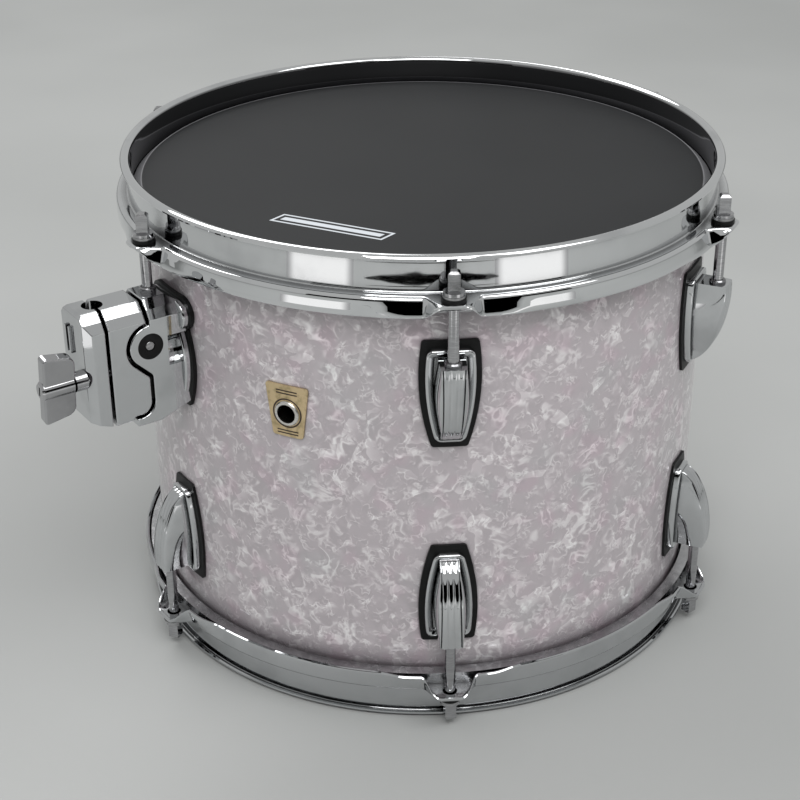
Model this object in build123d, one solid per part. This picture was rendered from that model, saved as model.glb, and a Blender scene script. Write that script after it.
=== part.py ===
from build123d import *
import os
from math import sqrt

# A twelve by nine inch rack tom, as the pieces it comes apart into on a bench.
# Millimetres, +Z up. The origin is on the drum's axis, in the plane of the bottom rim.
# The holder bracket points along -X. Pieces are drawn at angle 0, on the batter side,
# then turned round the axis, and turned over about mid height for the resonant side.

# Shell and wrap
shell_radius = 151.0
shell_wall = 6.0
shell_depth = 228.6
edge_bevel = 2.5
wrap_thickness = 0.5
wrap_margin = 4.2

# Heads
film_thickness = 0.35
collar_stand_off = 1.4
collar_drop = 3.6
collar_tuck = 4.5
flesh_width = 5.8
flesh_height = 6.4

# Counter hoops
rim_rise = 14.1
hoop_sheet = 2.2
hoop_height = 29.2
lip_width = 3.0
lip_round = 0.9
ear_drop = 18.9
ear_width = 24.0
ear_reach = 7.0
ear_round = 8.0
hoop_wall_gap = 0.3
skirt_gap = 0.8

# Tension rods and what sits on the ears
rod_count = 6
rod_stand_off = 13.2
rod_radius = 2.7
rod_length = 52.0
mount_rod_length = 36.2
rod_flange_radius = 5.0
rod_flange_thick = 1.6
rod_head_side = 5.6
rod_head_height = 10.0
rod_head_chamfer = 1.2
rod_head_facing = 55.0
steel_washer_radius = 5.3
steel_washer_thick = 1.2
nylon_washer_radius = 5.8
nylon_washer_thick = 1.8

# Lugs
lug_length = 56.2
lug_rod_end = 44.4
lug_rod_half = 13.4
lug_belly_half = 14.9
lug_belly_drop = 20.0
lug_tail_half = 8.7
gasket_thick = 1.3
gasket_corner = 1.8
foot_inset = 2.9
foot_end_inset = 4.0
foot_thick = 3.2
foot_round = 0.8
foot_corner = 1.2
frame_rim = 2.1
frame_slope = 1.6
frame_depth = 2.1
tongue_half = 5.9
tongue_end_drop = 6.8
tongue_length = 43.6
tongue_reach = 19.4
tongue_belly = 0.7
tongue_belly_drop = 10.0
tongue_shoulder_drop = 22.0
tongue_shoulder_back = 0.9
tongue_toe = 3.6
ridge_count = 3
ridge_round = 0.9
nut_radius = 3.5
nut_length = 18.0
nut_shoulder = 0.6
nut_collar_height = 1.8
lug_screw_radius = 2.4
lug_screw_head_radius = 4.6
lug_screw_head_height = 2.6
lug_screw_bite = 6.0
lug_screw_drops = (16.0, 40.0)
lug_washer_radius = 6.0
lug_washer_thick = 1.0

# Badge
badge_angle = 209.8
badge_drop = 90.3
badge_top_half = 11.8
badge_top_rise = 15.0
badge_foot_half = 8.2
badge_foot_drop = 12.8
badge_round = 1.6
badge_thick = 0.8
vent_radius = 4.9
eyelet_wall = 0.6
eyelet_flange = 1.1
eyelet_lip = 1.0

# Holder bracket, drawn along +X and turned to its place
bracket_angle = 180.0
bracket_drop = 45.0
bracket_half = 15.0
bevel_top_half = 8.0
bevel_mid_half = 12.0
bevel_mid_drop = 4.2
bevel_drop = 8.8
bracket_gasket_thick = 2.0
bracket_gasket_drop = 1.8
bracket_gasket_length = 60.0
lobe_top_half = 12.0
lobe_upper_half = 20.0
lobe_waist_half = 15.0
lobe_waist_drop = 17.0
lobe_lower_half = 19.0
lobe_tail_half = 13.5
bracket_foot_inset = 1.6
bracket_foot_thick = 3.2
bracket_foot_round = 1.0
cast_round = 0.7
pivot_reach = 21.0
pivot_drop = 22.5
pivot_boss_radius = 11.0
pivot_tongue_radius = 8.4
pivot_tongue_half = 6.7
pivot_swing_gap = 0.8
pin_radius = 2.6
pin_inset = 0.6
bushing_radius = 6.8
bushing_inset = 0.4
isolation_gap = 1.8
pad_thick = 0.9
pad_half = 13.0
pad_height = 12.5
base_face_reach = 20.7
base_length = 64.4
base_top_length = 6.5
base_top_fall = 5.0
base_heel_rise = 6.0
base_toe_inset = 3.0
base_lip_reach = 31.0
base_lip_thick = 4.2
scoop_radius = 9.0
scoop_depth = 5.0
scoop_length = 9.5
scoop_drop = 27.3
gap_top_round = 1.5
gap_boss_round = 4.0
gap_foot_round = 8.0
clamp_length = 60.4
clamp_split_reach = 42.5
jaw_gap = 1.6
jaw_thick = 12.2
jaw_bevel = 3.6
jaw_toe_rise = 4.0
jaw_heel = 3.0
socket_radius = 5.25
wing_wall = 1.45
wing_drop = 32.8
wing_thread_radius = 3.0
wing_thread_depth = 10.0
wing_collar_radius = 5.0
wing_collar_length = 6.0
wing_hub_radius = 4.8
wing_blade_length = 16.5
wing_blade_half = 19.0
wing_heel_half = 16.0
wing_blade_thick = 6.4
wing_blade_round = 1.8
wing_heel_round = 5.0
wing_blade_edge = 1.0
wing_stem_proud = 1.0
wing_slot = 1.2
wing_tilt = -8.0
jaw_rib_height = 14.0
jaw_rib_width = 1.5
jaw_rib_proud = 1.2
jaw_rib_offsets = (-5.5, -1.5)
mount_nut_length = 8.6
mount_nut_rise = 2.6
mount_screw_radius = 2.9
mount_screw_bite = 6.4
mount_screw_drops = (15.8, 48.8)

# Clearances
seat_gap = 0.05
running_gap = 0.05
easy_gap = 0.3
through_gap = 0.4
overrun = 1.0

# Worked-out sizes shared between pieces
height = shell_depth + 2 * rim_rise
mid_height = height / 2
edge_z = height - rim_rise
wrap_radius = shell_radius + seat_gap + wrap_thickness
inner_radius = shell_radius - shell_wall
apex_radius = shell_radius - edge_bevel
rod_circle = wrap_radius + rod_stand_off
collar_radius = wrap_radius + collar_stand_off
flesh_inner = collar_radius + seat_gap
flesh_outer = flesh_inner + flesh_width
hoop_inner = flesh_inner + hoop_wall_gap
hoop_outer = hoop_inner + hoop_sheet
skirt_inner = flesh_outer + skirt_gap
skirt_outer = skirt_inner + hoop_sheet
skirt_z = height - hoop_height
ear_top = height - ear_drop
ear_under = ear_top - hoop_sheet
flesh_top = ear_under - seat_gap
nylon_z = ear_top + seat_gap
steel_z = nylon_z + nylon_washer_thick + seat_gap
rod_flange_z = steel_z + steel_washer_thick + seat_gap
rod_head_z = rod_flange_z + rod_flange_thick
lug_end_z = height - lug_rod_end
tongue_end_z = lug_end_z - tongue_end_drop
gasket_inner = wrap_radius + seat_gap
gasket_outer = gasket_inner + gasket_thick
foot_inner = gasket_outer + seat_gap
foot_outer = foot_inner + foot_thick
bracket_gasket_outer = gasket_inner + bracket_gasket_thick
base_inner = bracket_gasket_outer + seat_gap
nut_collar_radius = nut_radius + nut_shoulder
badge_z = height - badge_drop
bracket_top_z = height - bracket_drop
bracket_gasket_top = bracket_top_z - bracket_gasket_drop
base_bottom_z = bracket_top_z - base_length
clamp_bottom_z = bracket_top_z - clamp_length
pivot_z = bracket_top_z - pivot_drop
pivot_r = wrap_radius + pivot_reach
bracket_shoulder_z = bracket_top_z - bevel_drop
wing_z = bracket_top_z - wing_drop
wing_offset = socket_radius + wing_thread_radius + wing_wall
split_r = wrap_radius + clamp_split_reach
jaw_inner = split_r + jaw_gap
jaw_outer = split_r + jaw_thick
rod_angles = [360.0 / rod_count * step for step in range(rod_count)]
lug_angles = [angle for angle in rod_angles if angle != bracket_angle]
rod_clear_radius = rod_radius + through_gap
far = 2 * height

on_base = (Align.CENTER, Align.CENTER, Align.MIN)


def post(radius, low, high, x=0.0, y=0.0):
    """Upright cylinder from one height to another."""
    return Pos(x, y, low) * Cylinder(radius, high - low, align=on_base)


def spoke(radius, start, end, y=0.0, z=0.0):
    """Cylinder along X, square to the shell at angle 0."""
    return Pos(start, y, z) * Rot(0, 90, 0) * Cylinder(radius, end - start, align=on_base)


def band(inner, outer, low, high):
    """Upright tube between two radii."""
    return post(outer, low, high) - post(inner, low - overrun, high + overrun)


def turned(points):
    """Solid of revolution about the drum's axis from (radius, height) points."""
    return revolve(Plane.XZ * make_face(Polyline(*points, close=True)), axis=Axis.Z)


def facing(outline, start, end):
    """Outline drawn in (Y, Z), extruded along X between two radii."""
    return extrude(Plane.YZ.offset(start) * outline, end - start)


def side_on(profile, half):
    """Profile drawn in (X, Z), extruded both ways along Y."""
    return extrude(Plane.XZ * profile, half, both=True)


def around(shape, angle):
    """The shape turned round the drum's axis."""
    return Rot(0, 0, angle) * shape


def turned_over(shape):
    """The shape turned over about the radial line at mid height."""
    return Pos(0, 0, mid_height) * Rot(180, 0, 0) * Pos(0, 0, -mid_height) * shape


def both_places():
    """Each lug place: its name, its angle and whether it is on the resonant side."""
    upper = [(f"upper_{step + 1}", angle, False) for step, angle in enumerate(lug_angles)]
    lower = [(f"lower_{step + 1}", angle, True) for step, angle in enumerate(rod_angles)]
    return upper + lower


def placed(shape, angle, resonant):
    """A batter-side shape at its angle, turned over where it is on the resonant side."""
    return around(turned_over(shape) if resonant else shape, angle)


def write(node, *shapes):
    """Write one named piece, or one group of like pieces."""
    solids = [solid for shape in shapes for solid in shape.solids()]
    whole = solids[0] if len(solids) == 1 else Compound(children=solids)
    export_step(whole, f"parts/{node}.step")


# Screws that hold the lugs and the bracket from inside the shell

def washer_face(radius):
    """Radius at which a flat washer's rim meets the inside of the shell."""
    return sqrt(inner_radius ** 2 - radius ** 2) - seat_gap


def inside_screw(shank, z, tip):
    """Screw along X at a height, its head inside the shell."""
    seat = washer_face(lug_washer_radius) - lug_washer_thick - seat_gap
    head = spoke(lug_screw_head_radius, seat - lug_screw_head_height, seat, 0, z)
    head = chamfer(head.edges().group_by(Axis.X)[0], lug_screw_head_height / 3)
    return head + spoke(shank, seat, tip, 0, z)


def inside_washer(shank, z):
    """Flat washer under an inside screw's head."""
    face = washer_face(lug_washer_radius)
    disc = spoke(lug_washer_radius, face - lug_washer_thick, face, 0, z)
    return disc - spoke(shank + easy_gap, face - 2 * lug_washer_thick, face + overrun, 0, z)


lug_screw_tip = foot_inner + lug_screw_bite
mount_screw_tip = base_inner + mount_screw_bite
lug_screw_heights = [lug_end_z - drop for drop in lug_screw_drops]
mount_screw_heights = [bracket_top_z - drop for drop in mount_screw_drops]


# Shell, wrap and heads

def shell_holes(start, end):
    """Everything that is drilled through the shell, between two radii."""
    holes = []
    for _, angle, resonant in both_places():
        for z in lug_screw_heights:
            drill = spoke(lug_screw_radius + easy_gap, start, end, 0, z)
            holes.append(placed(drill, angle, resonant))
    for z in mount_screw_heights:
        holes.append(around(spoke(mount_screw_radius + easy_gap, start, end, 0, z), bracket_angle))
    vent = spoke(vent_radius + eyelet_wall + seat_gap, start, end, 0, badge_z)
    return holes + [around(vent, badge_angle)]


def shell():
    """Wood shell with a bevelled bearing edge at each end."""
    inner_bevel = apex_radius - inner_radius
    low = rim_rise
    wood = turned([
        (inner_radius, low + inner_bevel), (apex_radius, low), (shell_radius, low + edge_bevel),
        (shell_radius, edge_z - edge_bevel), (apex_radius, edge_z), (inner_radius, edge_z - inner_bevel),
    ])
    return wood - shell_holes(inner_radius - shell_wall, shell_radius + overrun)


def wrap():
    """Thin sheet bonded round the shell, short of both bearing edges."""
    sheet = band(shell_radius + seat_gap, wrap_radius, rim_rise + wrap_margin, edge_z - wrap_margin)
    return sheet - shell_holes(inner_radius, wrap_radius + overrun)


def head_film():
    """Film over the bearing edge, its collar tucked into the flesh hoop."""
    inside = collar_radius - film_thickness
    seat = edge_z + seat_gap
    return turned([
        (0, seat), (apex_radius, seat), (inside, seat - collar_drop), (inside, flesh_top - collar_tuck),
        (collar_radius, flesh_top - collar_tuck), (collar_radius, seat - collar_drop + film_thickness),
        (apex_radius, seat + film_thickness), (0, seat + film_thickness),
    ])


def flesh_hoop():
    """Ring that grips the film's edge and carries the counter hoop."""
    return band(flesh_inner, flesh_outer, flesh_top - flesh_height, flesh_top)


# Counter hoops

def hoop_ear():
    """Flat ear for one rod, with a sloping cheek on each side."""
    start = hoop_outer
    end = rod_circle + ear_reach
    flat = Pos((start + end) / 2, 0) * Rectangle(end - start, ear_width)
    flat = fillet(flat.vertices().group_by(Axis.X)[-1], ear_round)
    ear = Pos(0, 0, ear_under) * extrude(flat, hoop_sheet)
    web = make_face(Polyline(
        (skirt_inner + hoop_sheet / 2, ear_under), (end - ear_round, ear_under),
        (skirt_inner + hoop_sheet / 2, skirt_z), close=True))
    cheek = side_on(web, hoop_sheet / 2)
    offset_y = ear_width / 2 - hoop_sheet / 2
    return ear + Pos(0, offset_y, 0) * cheek + Pos(0, -offset_y, 0) * cheek


def counter_hoop():
    """Triple-flanged hoop: rolled lip, wall, step on the flesh hoop, skirt and six ears."""
    lip_outer = hoop_outer + lip_width
    ring = turned([
        (hoop_inner, ear_under), (hoop_inner, height - lip_round), (hoop_inner + lip_round, height),
        (lip_outer - lip_round, height), (lip_outer, height - lip_round),
        (lip_outer, height - hoop_sheet), (hoop_outer, height - hoop_sheet), (hoop_outer, ear_top),
        (skirt_outer, ear_top), (skirt_outer, skirt_z), (skirt_inner, skirt_z), (skirt_inner, ear_under),
    ])
    mouth_half = ear_width / 2 - hoop_sheet
    mouth = Pos((skirt_inner + skirt_outer) / 2, 0, skirt_z) * Box(
        4 * hoop_sheet, 2 * mouth_half, ear_under - skirt_z, align=on_base)
    mouth = mouth - post(skirt_inner - easy_gap, skirt_z - overrun, ear_under + overrun)
    ear = hoop_ear()
    hole = post(rod_clear_radius, ear_under - overrun, ear_top + overrun, rod_circle)
    ring = ring - [around(mouth, angle) for angle in rod_angles]
    ring = ring + [around(ear, angle) for angle in rod_angles]
    return ring - [around(hole, angle) for angle in rod_angles]


# Tension rods and washers

def tension_rod(length, turn):
    """Square-headed rod from its tip to the top of its head, the head turned about the rod."""
    shank = post(rod_radius, rod_flange_z - length, rod_flange_z)
    shank = chamfer(shank.edges().group_by(Axis.Z)[0], rod_radius / 4)
    flange = post(rod_flange_radius, rod_flange_z, rod_head_z)
    head = Pos(0, 0, rod_head_z) * Box(rod_head_side, rod_head_side, rod_head_height, align=on_base)
    head = chamfer(head.edges().group_by(Axis.Z)[-1], rod_head_chamfer)
    return Pos(rod_circle, 0, 0) * Rot(0, 0, turn) * (shank + flange + head)


def rod_washer(radius, low, thick):
    """Flat washer round a rod."""
    return post(radius, low, low + thick, rod_circle) - post(
        rod_clear_radius, low - overrun, low + thick + overrun, rod_circle)


# Lugs

def barrel_outline(inset, end_inset):
    """Barrel-shaped foot outline, widest a third of the way down from the rod end."""
    top = lug_end_z - end_inset
    tail = lug_end_z - lug_length + end_inset
    belly_z = lug_end_z - lug_belly_drop
    rod_half = lug_rod_half - inset
    belly_half = lug_belly_half - inset
    tail_half = lug_tail_half - inset
    return make_face([
        ThreePointArc((rod_half, top), (belly_half, belly_z), (tail_half, tail)),
        Line((tail_half, tail), (-tail_half, tail)),
        ThreePointArc((-tail_half, tail), (-belly_half, belly_z), (-rod_half, top)),
        Line((-rod_half, top), (rod_half, top)),
    ])


def wrapped_plate(outline, inner, outer):
    """Outline laid on the drum between two radii, curved as the shell is."""
    slab = facing(outline, inner - shell_wall, outer + shell_wall)
    return slab & band(inner, outer, 0, height)


def outer_edges(plate, radius):
    """Edges of a curved plate that lie on its outer face."""
    return [edge for edge in plate.edges() if edge.center().X ** 2 + edge.center().Y ** 2 > radius ** 2]


def lug_gasket():
    """Rubber gasket between a lug and the wrap."""
    outline = barrel_outline(0, 0)
    outline = fillet(outline.vertices(), gasket_corner)
    plate = wrapped_plate(outline, gasket_inner, gasket_outer)
    holes = [spoke(lug_screw_radius + easy_gap, shell_radius, foot_outer, 0, z) for z in lug_screw_heights]
    return plate - holes


def tongue_profile():
    """Side profile of a lug's tongue: square at the rod end, curving down to its toe."""
    inner = foot_inner - overrun
    crown = wrap_radius + tongue_reach
    start = (crown, tongue_end_z)
    belly = (crown + tongue_belly, tongue_end_z - tongue_belly_drop)
    shoulder = (crown - tongue_shoulder_back, tongue_end_z - tongue_shoulder_drop)
    toe = (wrap_radius + tongue_toe, tongue_end_z - tongue_length)
    crest = ThreePointArc(start, belly, shoulder)
    return make_face([
        crest,
        TangentArc(shoulder, toe, tangent=crest % 1),
        Line(toe, (inner, toe[1])),
        Line((inner, toe[1]), (inner, tongue_end_z)),
        Line((inner, tongue_end_z), start),
    ])


def lug_foot():
    """Curved foot with a narrow rim that slopes inwards to a sunk floor."""
    outline = barrel_outline(foot_inset, foot_end_inset)
    outline = fillet(outline.vertices(), foot_corner)
    foot = wrapped_plate(outline, foot_inner, foot_outer)
    foot = fillet(outer_edges(foot, foot_outer - easy_gap), foot_round)
    slope_floor = foot_outer - frame_slope
    hollow = barrel_outline(foot_inset + frame_rim, foot_end_inset + frame_rim)
    hollow = wrapped_plate(hollow, slope_floor, foot_outer + overrun)
    deep = outer_edges(hollow, slope_floor + easy_gap)
    hollow = chamfer([edge for edge in hollow.edges() if edge not in deep], frame_slope)
    frame = frame_rim + frame_slope
    floor = wrapped_plate(
        barrel_outline(foot_inset + frame, foot_end_inset + frame), foot_outer - frame_depth, foot_outer)
    return foot - hollow - floor


def lug_tongue():
    """Tongue of the lug: like ridges side by side, each rounded along both edges."""
    half = tongue_half / ridge_count
    ridge = side_on(tongue_profile(), half)
    sides = [edge for edge in ridge.edges().filter_by(GeomType.CIRCLE) if edge.center().X > foot_outer]
    ridge = fillet(sides, ridge_round)
    ridges = [Pos(0, 2 * half * step + half - tongue_half, 0) * ridge for step in range(ridge_count)]
    return ridges[0] + ridges[1:]


def lug_casing():
    """Die-cast lug: framed foot, ridged tongue, nut bore and two blind screw holes."""
    casting = lug_foot() + (lug_tongue() - post(foot_inner, 0, height))
    bore = post(nut_radius + easy_gap, tongue_end_z - nut_length - easy_gap, height, rod_circle)
    drill = post(rod_clear_radius, rod_flange_z - rod_length - overrun, height, rod_circle)
    screw_holes = [
        spoke(lug_screw_radius + running_gap, shell_radius, lug_screw_tip + easy_gap, 0, z)
        for z in lug_screw_heights]
    return casting - bore - drill - screw_holes


def swivel_nut(seat, length, rise):
    """Threaded nut whose collar rests on a seat and takes one rod."""
    shank = post(nut_radius, seat - length, seat + seat_gap, rod_circle)
    collar = post(nut_collar_radius, seat + seat_gap, seat + rise, rod_circle)
    collar = chamfer(collar.edges().group_by(Axis.Z)[-1], nut_collar_height / 3)
    thread = post(rod_radius + running_gap, seat - length - overrun, seat + rise + overrun, rod_circle)
    return shank + collar - thread


# Badge and eyelet

def badge_plate():
    """Plain tapered plate curved to the shell, with a hole for the eyelet."""
    top = badge_z + badge_top_rise
    foot = badge_z - badge_foot_drop
    outline = make_face(Polyline(
        (badge_top_half, top), (badge_foot_half, foot), (-badge_foot_half, foot), (-badge_top_half, top),
        close=True))
    outline = fillet(outline.vertices(), badge_round)
    plate = wrapped_plate(outline, gasket_inner, gasket_inner + badge_thick)
    return plate - spoke(vent_radius + eyelet_wall + seat_gap, shell_radius, foot_outer, 0, badge_z)


def eyelet():
    """Vent tube through the shell, flanged outside over the badge and inside on the wood."""
    tube_radius = vent_radius + eyelet_wall
    flange_radius = tube_radius + eyelet_flange
    outside = gasket_inner + badge_thick + seat_gap
    inside = washer_face(flange_radius)
    body = spoke(tube_radius, inside - eyelet_lip, outside + eyelet_lip, 0, badge_z)
    outer_lip = spoke(flange_radius, outside, outside + eyelet_lip, 0, badge_z)
    outer_lip = chamfer(outer_lip.edges().group_by(Axis.X)[-1], eyelet_lip / 2)
    inner_lip = spoke(flange_radius, inside - eyelet_lip, inside, 0, badge_z)
    bore = spoke(vent_radius, inside - 2 * eyelet_lip, outside + 2 * eyelet_lip, 0, badge_z)
    return body + outer_lip + inner_lip - bore


# Holder bracket

def lobed_outline(inset):
    """Two-lobed outline of the bracket's gasket and foot."""
    top = bracket_gasket_top - inset
    bottom = bracket_gasket_top - bracket_gasket_length + inset
    waist_z = bracket_gasket_top - lobe_waist_drop
    top_half = lobe_top_half - inset
    upper_half = lobe_upper_half - inset
    waist_half = lobe_waist_half - inset
    lower_half = lobe_lower_half - inset
    tail_half = lobe_tail_half - inset
    upper_z = (top + waist_z) / 2
    lower_z = (waist_z + bottom) / 2
    return make_face([
        ThreePointArc((top_half, top), (upper_half, upper_z), (waist_half, waist_z)),
        ThreePointArc((waist_half, waist_z), (lower_half, lower_z), (tail_half, bottom)),
        Line((tail_half, bottom), (-tail_half, bottom)),
        ThreePointArc((-tail_half, bottom), (-lower_half, lower_z), (-waist_half, waist_z)),
        ThreePointArc((-waist_half, waist_z), (-upper_half, upper_z), (-top_half, top)),
        Line((-top_half, top), (top_half, top)),
    ])


def bracket_section():
    """Cross-section of base, clamp and jaw, looking at the drum: upright, twice bevelled at the top."""
    low = base_bottom_z - overrun
    mid_z = bracket_top_z - bevel_mid_drop
    return make_face(Polyline(
        (-bracket_half, low), (bracket_half, low), (bracket_half, bracket_shoulder_z),
        (bevel_mid_half, mid_z), (bevel_top_half, bracket_top_z), (-bevel_top_half, bracket_top_z),
        (-bevel_mid_half, mid_z), (-bracket_half, bracket_shoulder_z), close=True))


def base_profile():
    """Side profile of the base: block, lip under the clamp, and a round boss running down into the block."""
    face = wrap_radius + base_face_reach
    lip = wrap_radius + base_lip_reach
    lip_z = base_bottom_z + base_lip_thick
    start = base_inner - overrun
    heel_z = base_bottom_z + base_heel_rise
    block = make_face(Polyline(
        (start, heel_z), (face - base_toe_inset, base_bottom_z), (lip, base_bottom_z),
        (lip, lip_z), (face, lip_z), (face, bracket_top_z), (base_inner + base_top_length, bracket_top_z),
        (start, bracket_top_z - base_top_fall), close=True))
    slant = pivot_boss_radius / sqrt(2)
    web_z = pivot_z - 2 * slant - pivot_r + face
    web = make_face(Polyline(
        (face, pivot_z), (pivot_r, pivot_z), (pivot_r + slant, pivot_z - slant), (face, web_z), close=True))
    profile = block + web + Pos(pivot_r, pivot_z) * Circle(pivot_boss_radius)
    boss_half = sqrt(pivot_boss_radius ** 2 - (face - pivot_r) ** 2)
    rounds = ((pivot_z + boss_half, gap_top_round), (web_z, gap_boss_round), (lip_z, gap_foot_round))
    for z, radius in rounds:
        profile = fillet(profile.vertices().sort_by_distance((face, z, 0))[0], radius)
    return profile


def pivot_slot(radius, end):
    """Rounded slot or tongue from the pivot outwards, in side view."""
    length = end - pivot_r
    return Pos(pivot_r, pivot_z) * Circle(radius) + Pos(pivot_r + length / 2, pivot_z) * Rectangle(
        length, 2 * radius)


def mount_base():
    """Base on the shell: two cheeks with bushing bores, a nut bore and blind screw holes."""
    section = facing(bracket_section(), base_inner - 2 * overrun, jaw_outer)
    block = side_on(base_profile(), bracket_half) & section
    foot_face = base_inner + bracket_foot_thick
    flat_start = base_inner + base_top_length + seat_gap
    block = fillet([edge for edge in block.edges() if edge.center().X > flat_start], cast_round)
    foot = wrapped_plate(lobed_outline(bracket_foot_inset), base_inner, foot_face)
    foot = fillet(outer_edges(foot, foot_face - easy_gap), bracket_foot_round)
    scoop = spoke(
        scoop_radius, base_inner - overrun, base_inner + scoop_length,
        bracket_half + scoop_radius - scoop_depth, bracket_top_z - scoop_drop)
    base = foot + (block - post(base_inner, 0, height) - scoop - mirror(scoop, Plane.XZ))
    swing = pivot_slot(pivot_tongue_radius + pivot_swing_gap, jaw_outer)
    slot = side_on(swing, pivot_tongue_half + easy_gap)
    bores = Pos(pivot_r, 0, pivot_z) * Rot(90, 0, 0) * Cylinder(bushing_radius + seat_gap, far)
    nut_bore = post(nut_radius + easy_gap, bracket_top_z - mount_nut_length - easy_gap, height, rod_circle)
    screw_holes = [
        spoke(mount_screw_radius + running_gap, shell_radius, mount_screw_tip + easy_gap, 0, z)
        for z in mount_screw_heights]
    return base - slot - bores - nut_bore - screw_holes


def bracket_gasket():
    """Rubber gasket between the bracket and the wrap."""
    plate = wrapped_plate(lobed_outline(0), gasket_inner, bracket_gasket_outer)
    holes = [
        spoke(mount_screw_radius + easy_gap, shell_radius, base_inner + overrun, 0, z)
        for z in mount_screw_heights]
    return plate - holes


def pivot_bushings():
    """Rubber bushing in each cheek of the base."""
    start = pivot_tongue_half + easy_gap
    length = bracket_half - bushing_inset - start
    bush = Cylinder(bushing_radius, length) - Cylinder(pin_radius + running_gap, length + 2 * overrun)
    upright = Rot(90, 0, 0) * bush
    return [Pos(pivot_r, side * (start + length / 2), pivot_z) * upright for side in (-1, 1)]


def pivot_pin():
    """Pin pressed through the clamp's tongue and carried in the bushings."""
    pin = Pos(pivot_r, 0, pivot_z) * Rot(90, 0, 0) * Cylinder(pin_radius, 2 * (bracket_half - pin_inset))
    return chamfer(pin.edges().filter_by(GeomType.CIRCLE), pin_radius / 5)


def isolator_pad():
    """Rubber pad on the base's face, below the pivot."""
    face = wrap_radius + base_face_reach + seat_gap
    low = base_bottom_z + base_lip_thick + gap_foot_round + seat_gap
    return Pos(face, 0, low) * Box(
        pad_thick, 2 * pad_half, pad_height, align=(Align.MIN, Align.CENTER, Align.MIN))


def socket():
    """Upright bore for the holder's rod, on the split between clamp and jaw."""
    return post(socket_radius, base_bottom_z, bracket_top_z + overrun, (split_r + jaw_inner) / 2)


def wing_hole(radius, start, end):
    """Bore for the wing screw, beside the socket."""
    return spoke(radius, start, end, wing_offset, wing_z)


def clamp_body():
    """Clamp hung on the pivot, with half of the rod socket and the wing screw's thread."""
    start = base_inner + overrun
    block = make_face(Polyline(
        (start, clamp_bottom_z), (split_r, clamp_bottom_z), (split_r, bracket_top_z),
        (start, bracket_top_z), close=True))
    block = block - offset(base_profile(), isolation_gap)
    outer = side_on(block, bracket_half) & facing(bracket_section(), base_inner, jaw_outer)
    tongue = side_on(pivot_slot(pivot_tongue_radius, split_r - socket_radius), pivot_tongue_half)
    pin_hole = Pos(pivot_r, 0, pivot_z) * Rot(90, 0, 0) * Cylinder(pin_radius + running_gap, far)
    kept = (outer - post(pivot_r, 0, height)).solids().sort_by(SortBy.VOLUME)[-1]
    body = fillet((kept - socket()).edges().filter_by(GeomType.LINE), cast_round) + tongue
    screw_start = split_r - wing_thread_depth - easy_gap
    screw_hole = wing_hole(wing_thread_radius + running_gap, screw_start, split_r + overrun)
    return body - pin_hole - socket() - screw_hole


def clamp_jaw():
    """Outer jaw with the other half of the socket, a heel on the clamp and two ribs outside."""
    block = make_face(Polyline(
        (jaw_inner, clamp_bottom_z), (jaw_outer, clamp_bottom_z + jaw_toe_rise),
        (jaw_outer, bracket_top_z - jaw_bevel / 2), (jaw_outer - jaw_bevel / 2, bracket_top_z),
        (jaw_inner, bracket_top_z), close=True))
    jaw = side_on(block, bracket_half) & facing(bracket_section(), jaw_inner, jaw_outer)
    corner = make_face(Polyline(
        (jaw_outer - jaw_bevel, bracket_half), (jaw_outer + overrun, bracket_half + overrun),
        (jaw_outer, bracket_half - jaw_bevel), close=True))
    edge = Pos(0, 0, base_bottom_z) * extrude(corner, far / 4)
    jaw = jaw - edge - mirror(edge, Plane.XZ)
    heel = Pos(split_r + seat_gap, jaw_heel - bracket_half, clamp_bottom_z + jaw_bevel) * Box(
        jaw_gap, jaw_heel, bracket_shoulder_z - clamp_bottom_z - 2 * jaw_bevel,
        align=(Align.MIN, Align.MAX, Align.MIN))
    rib_z = bracket_shoulder_z - jaw_rib_height
    ribs = [
        Pos(jaw_outer - jaw_rib_proud, rib_y, rib_z) * Box(
            2 * jaw_rib_proud, jaw_rib_width, jaw_rib_height, align=(Align.MIN, Align.CENTER, Align.MIN))
        for rib_y in jaw_rib_offsets]
    jaw = fillet((jaw - socket()).edges().filter_by(GeomType.LINE), cast_round) + heel + ribs
    return jaw - wing_hole(wing_thread_radius + easy_gap, split_r - overrun, jaw_outer + 2 * jaw_rib_proud)


def wing_screw():
    """Screw with a thick two-lobed wing on a round hub, its collar on the jaw."""
    collar_start = jaw_outer + seat_gap
    blade_start = collar_start + wing_collar_length
    end = blade_start + wing_blade_length
    thread = spoke(wing_thread_radius, split_r - wing_thread_depth, collar_start)
    collar = spoke(wing_collar_radius, collar_start, blade_start)
    hub = spoke(wing_hub_radius, blade_start, end + wing_stem_proud)
    hub = chamfer(hub.edges().filter_by(GeomType.CIRCLE), wing_stem_proud)
    lobes = make_face(Polyline(
        (blade_start, -wing_heel_half), (end, -wing_blade_half), (end, wing_blade_half),
        (blade_start, wing_heel_half), close=True))
    lobes = fillet(lobes.vertices().group_by(Axis.X)[0], wing_heel_round)
    lobes = fillet(lobes.vertices().group_by(Axis.X)[-1], wing_blade_round)
    blade = side_on(lobes, wing_blade_thick / 2)
    blade = fillet(blade.edges(), wing_blade_edge)
    slot = Pos(end + wing_stem_proud, 0, 0) * Box(2 * wing_stem_proud, wing_slot, wing_hub_radius)
    screw = thread + collar + hub + blade - slot
    return Pos(0, wing_offset, wing_z) * Rot(wing_tilt, 0, 0) * screw


# Write every piece

os.makedirs("parts", exist_ok=True)

write("shell", shell())
write("wrap", wrap())

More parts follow.
